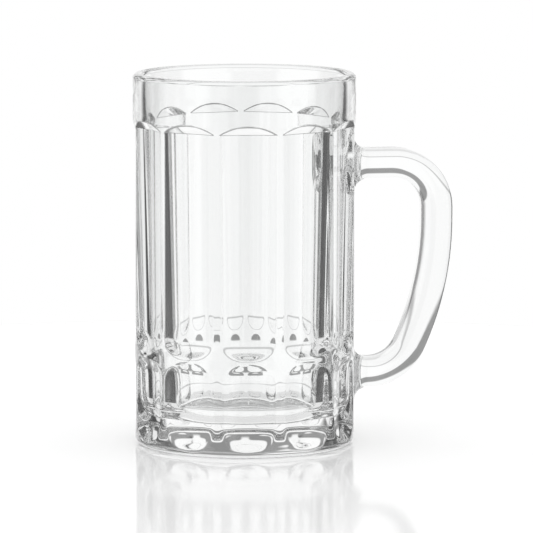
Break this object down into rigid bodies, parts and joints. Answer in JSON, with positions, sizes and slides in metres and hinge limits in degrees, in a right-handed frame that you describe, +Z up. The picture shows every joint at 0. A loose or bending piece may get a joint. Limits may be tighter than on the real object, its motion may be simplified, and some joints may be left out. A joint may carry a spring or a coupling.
{
  "type": "beer mug",
  "caption": "Thick clear glass beer mug with upright flutes above a ring of thumb dimples, a plain drinking band and a fused glass handle.",
  "frame": {"origin": "on the body's axis, at the level of the table it stands on", "axes": "+Z up along the body's axis, +X from the axis towards the handle, +Y across the handle"},
  "size_m": [0.1273, 0.088, 0.147],
  "materials": {
    "glass": "clear and fire-polished"
  },
  "bodies": {
    "root": {"body": "glass", "handle": "glass"}
  },
  "joints": []
}
